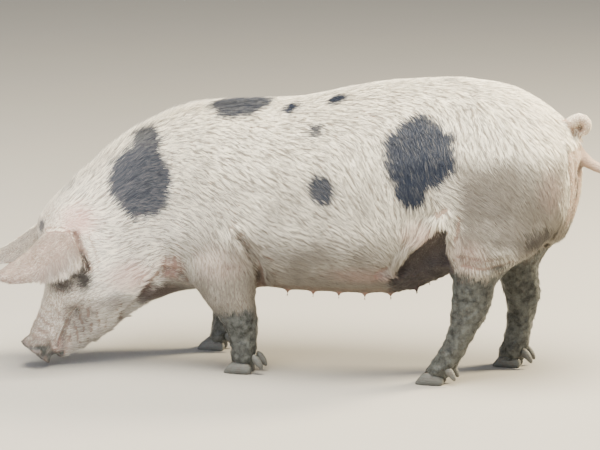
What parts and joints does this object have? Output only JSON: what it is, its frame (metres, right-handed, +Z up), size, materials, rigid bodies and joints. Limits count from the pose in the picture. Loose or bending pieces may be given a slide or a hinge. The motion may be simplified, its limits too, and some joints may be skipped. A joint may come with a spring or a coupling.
{
  "type": "pig",
  "caption": "Life-size standing sow with lop ears and a curled tail, rooting with her head down and turned to her left.",
  "frame": {"origin": "on the floor, under the middle of the bounding box", "axes": "+Z up; she faces -X and her left side is -Y"},
  "size_m": [1.6244, 0.5536, 0.7438],
  "materials": {
    "coat": "short pale bristles with slate-grey spots",
    "muddy_coat": "short bristles caked with dried mud",
    "bare_skin": "bare pink skin with earth on it",
    "claw_horn": "dull worn horn",
    "eye": "wet and dark brown"
  },
  "bodies": {
    "root": {"trunk": "coat", "neck": "coat", "head": "coat", "snout_disc": "bare_skin", "eye_left": "eye", "eye_right": "eye", "ear_left": "coat", "ear_right": "coat", "tail_root": "coat", "tail_loop": "coat", "tail_end": "coat", "foreleg_left": "muddy_coat", "foreleg_left_outer_claw": "claw_horn", "foreleg_left_inner_claw": "claw_horn", "foreleg_left_outer_dewclaw": "claw_horn", "foreleg_left_inner_dewclaw": "claw_horn", "foreleg_right": "muddy_coat", "foreleg_right_outer_claw": "claw_horn", "foreleg_right_inner_claw": "claw_horn", "foreleg_right_outer_dewclaw": "claw_horn", "foreleg_right_inner_dewclaw": "claw_horn", "hind_leg_left": "muddy_coat", "hind_leg_left_outer_claw": "claw_horn", "hind_leg_left_inner_claw": "claw_horn", "hind_leg_left_outer_dewclaw": "claw_horn", "hind_leg_left_inner_dewclaw": "claw_horn", "hind_leg_right": "muddy_coat", "hind_leg_right_outer_claw": "claw_horn", "hind_leg_right_inner_claw": "claw_horn", "hind_leg_right_outer_dewclaw": "claw_horn", "hind_leg_right_inner_dewclaw": "claw_horn"}
  },
  "joints": []
}
